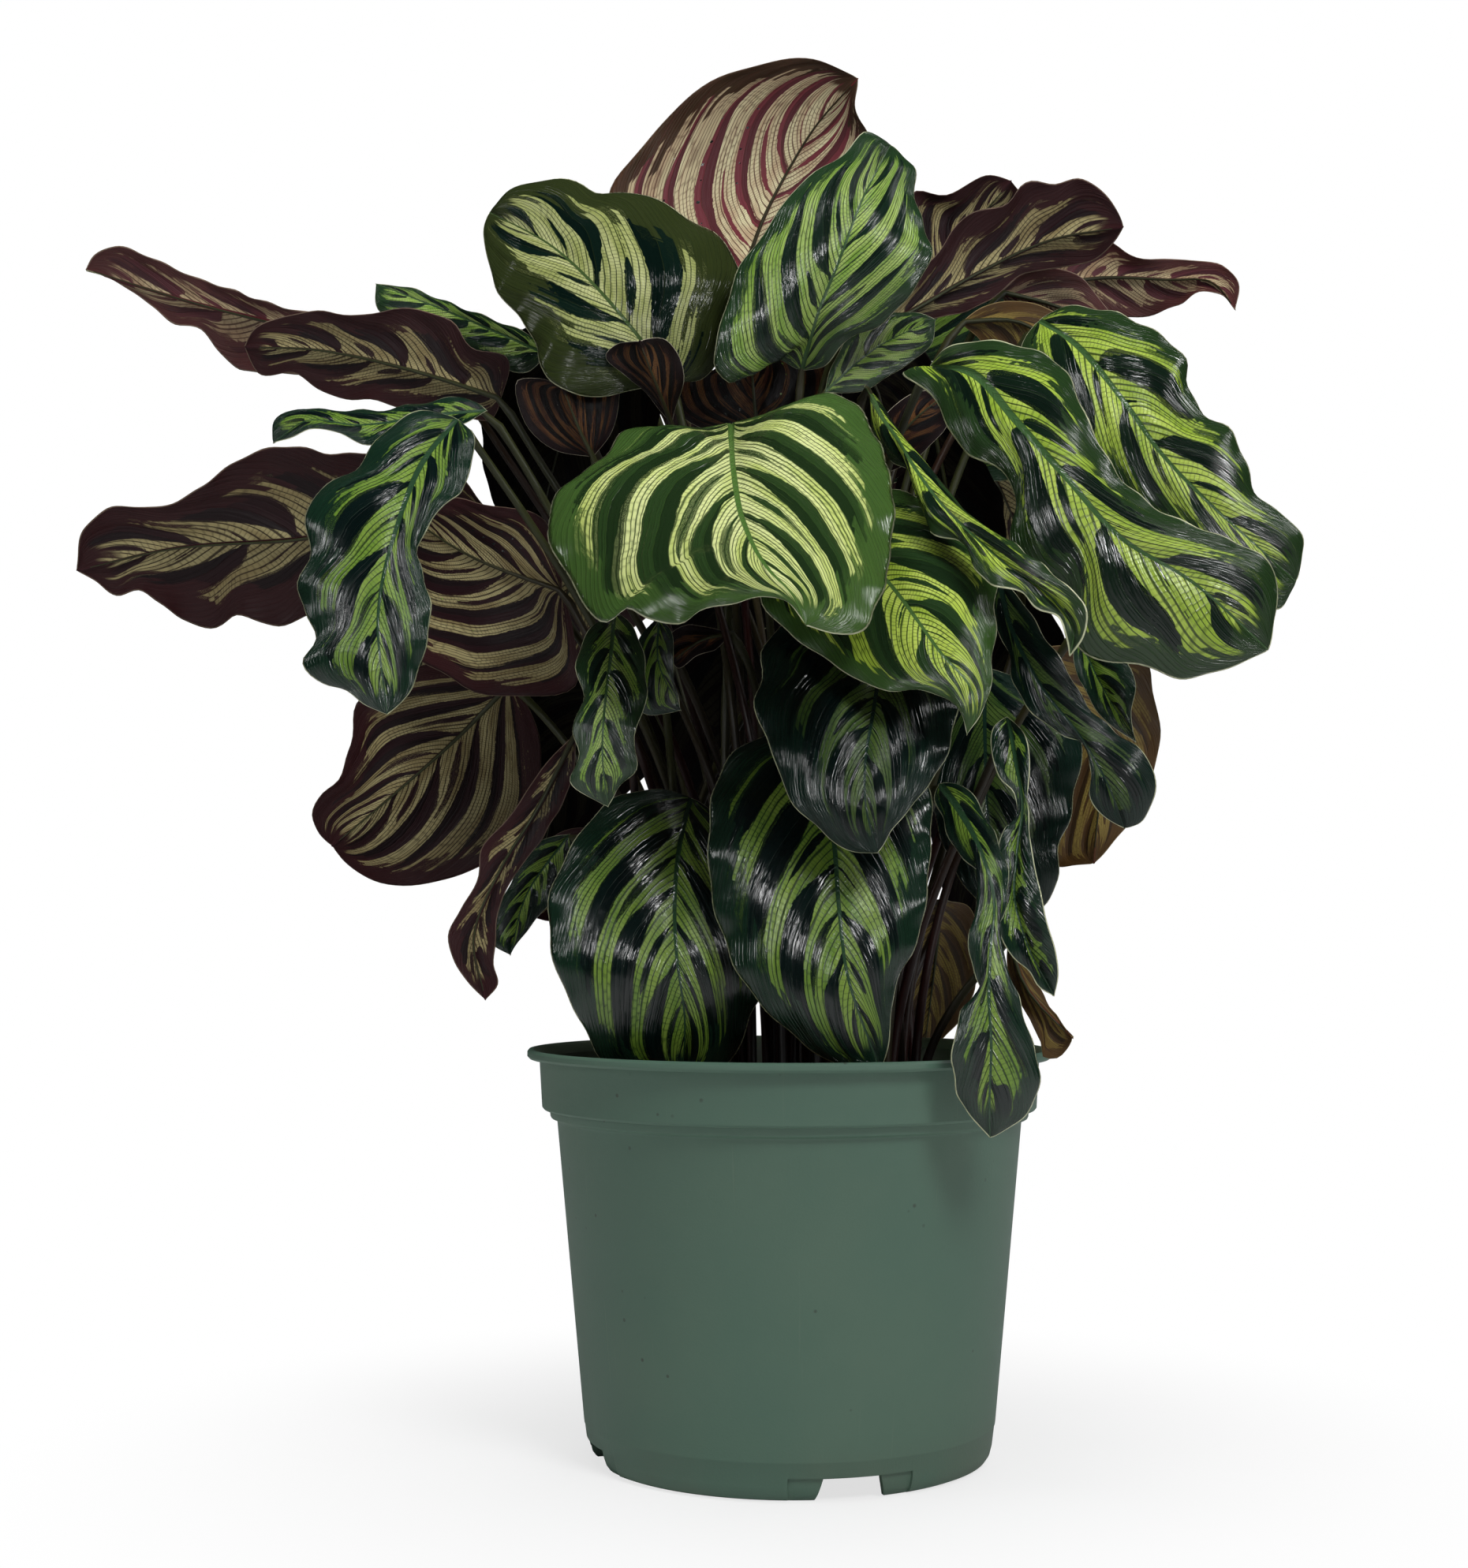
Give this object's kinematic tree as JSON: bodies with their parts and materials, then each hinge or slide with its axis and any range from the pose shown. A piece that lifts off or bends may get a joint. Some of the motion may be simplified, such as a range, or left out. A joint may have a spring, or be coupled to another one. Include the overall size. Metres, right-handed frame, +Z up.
{
  "type": "potted peacock plant",
  "caption": "Bushy peacock plant with large waved, fishbone-patterned leaves on thin stalks, in a round plastic nursery pot of soil.",
  "frame": {"origin": "middle of the pot's flat foot, on the pot's own axis, at the surface that it stands on", "axes": "+Z up along the pot's axis, the front that the picture shows faces -Y, +X to the viewer's right"},
  "size_m": [0.62, 0.4425, 0.7135],
  "materials": {
    "pot_plastic": "satin",
    "potting_soil": "matte",
    "leaf_upper_side": "gloss",
    "leaf_under_side": "satin"
  },
  "bodies": {
    "root": {"pot": "pot_plastic", "soil": "potting_soil", "leaf_back_high_centre": "leaf_upper_side", "leaf_back_high_left": "leaf_upper_side", "leaf_back_high_right": "leaf_upper_side", "leaf_back_inner_left": "leaf_upper_side", "leaf_back_inner_right": "leaf_upper_side", "leaf_back_low_centre": "leaf_upper_side", "leaf_back_low_left": "leaf_upper_side", "leaf_back_low_right": "leaf_upper_side", "leaf_back_mid_centre": "leaf_upper_side", "leaf_back_mid_left": "leaf_upper_side", "leaf_back_mid_right": "leaf_upper_side", "leaf_back_side_left": "leaf_upper_side", "leaf_back_side_low": "leaf_upper_side", "leaf_back_side_right": "leaf_upper_side", "leaf_back_top": "leaf_upper_side", "leaf_cup_centre": "leaf_under_side", "leaf_cup_left": "leaf_under_side", "leaf_cup_upright": "leaf_under_side", "leaf_front_centre": "leaf_upper_side", "leaf_front_hanging": "leaf_upper_side", "leaf_front_right": "leaf_upper_side", "leaf_inner_curl": "leaf_under_side", "leaf_inner_dark": "leaf_under_side", "leaf_inner_glossy": "leaf_upper_side", "leaf_inner_left": "leaf_upper_side", "leaf_inner_small": "leaf_upper_side", "leaf_left_arching": "leaf_upper_side", "leaf_left_far": "leaf_under_side", "leaf_left_hanging": "leaf_upper_side", "leaf_left_inner": "leaf_under_side", "leaf_left_low": "leaf_under_side", "leaf_left_narrow": "leaf_under_side", "leaf_left_purple_low": "leaf_under_side", "leaf_left_small_tip": "leaf_upper_side", "leaf_left_top": "leaf_under_side", "leaf_left_top_far": "leaf_under_side", "leaf_left_top_rear": "leaf_upper_side", "leaf_low_behind_pot": "leaf_under_side", "leaf_low_dry": "leaf_under_side", "leaf_low_left": "leaf_upper_side", "leaf_low_over_rim": "leaf_upper_side", "leaf_low_right": "leaf_upper_side", "leaf_right_backlit": "leaf_under_side", "leaf_right_curl": "leaf_upper_side", "leaf_right_dark": "leaf_upper_side", "leaf_right_folded": "leaf_upper_side", "leaf_right_lime_front": "leaf_upper_side", "leaf_right_lime_rear": "leaf_upper_side", "leaf_right_olive": "leaf_under_side", "leaf_right_pink": "leaf_under_side", "leaf_right_rear_tip": "leaf_under_side", "leaf_right_strip": "leaf_upper_side", "leaf_right_top": "leaf_under_side", "leaf_right_top_rear": "leaf_under_side", "leaf_right_twisted": "leaf_upper_side", "leaf_top_back": "leaf_under_side", "leaf_top_left": "leaf_upper_side", "leaf_top_right": "leaf_upper_side"}
  },
  "joints": []
}
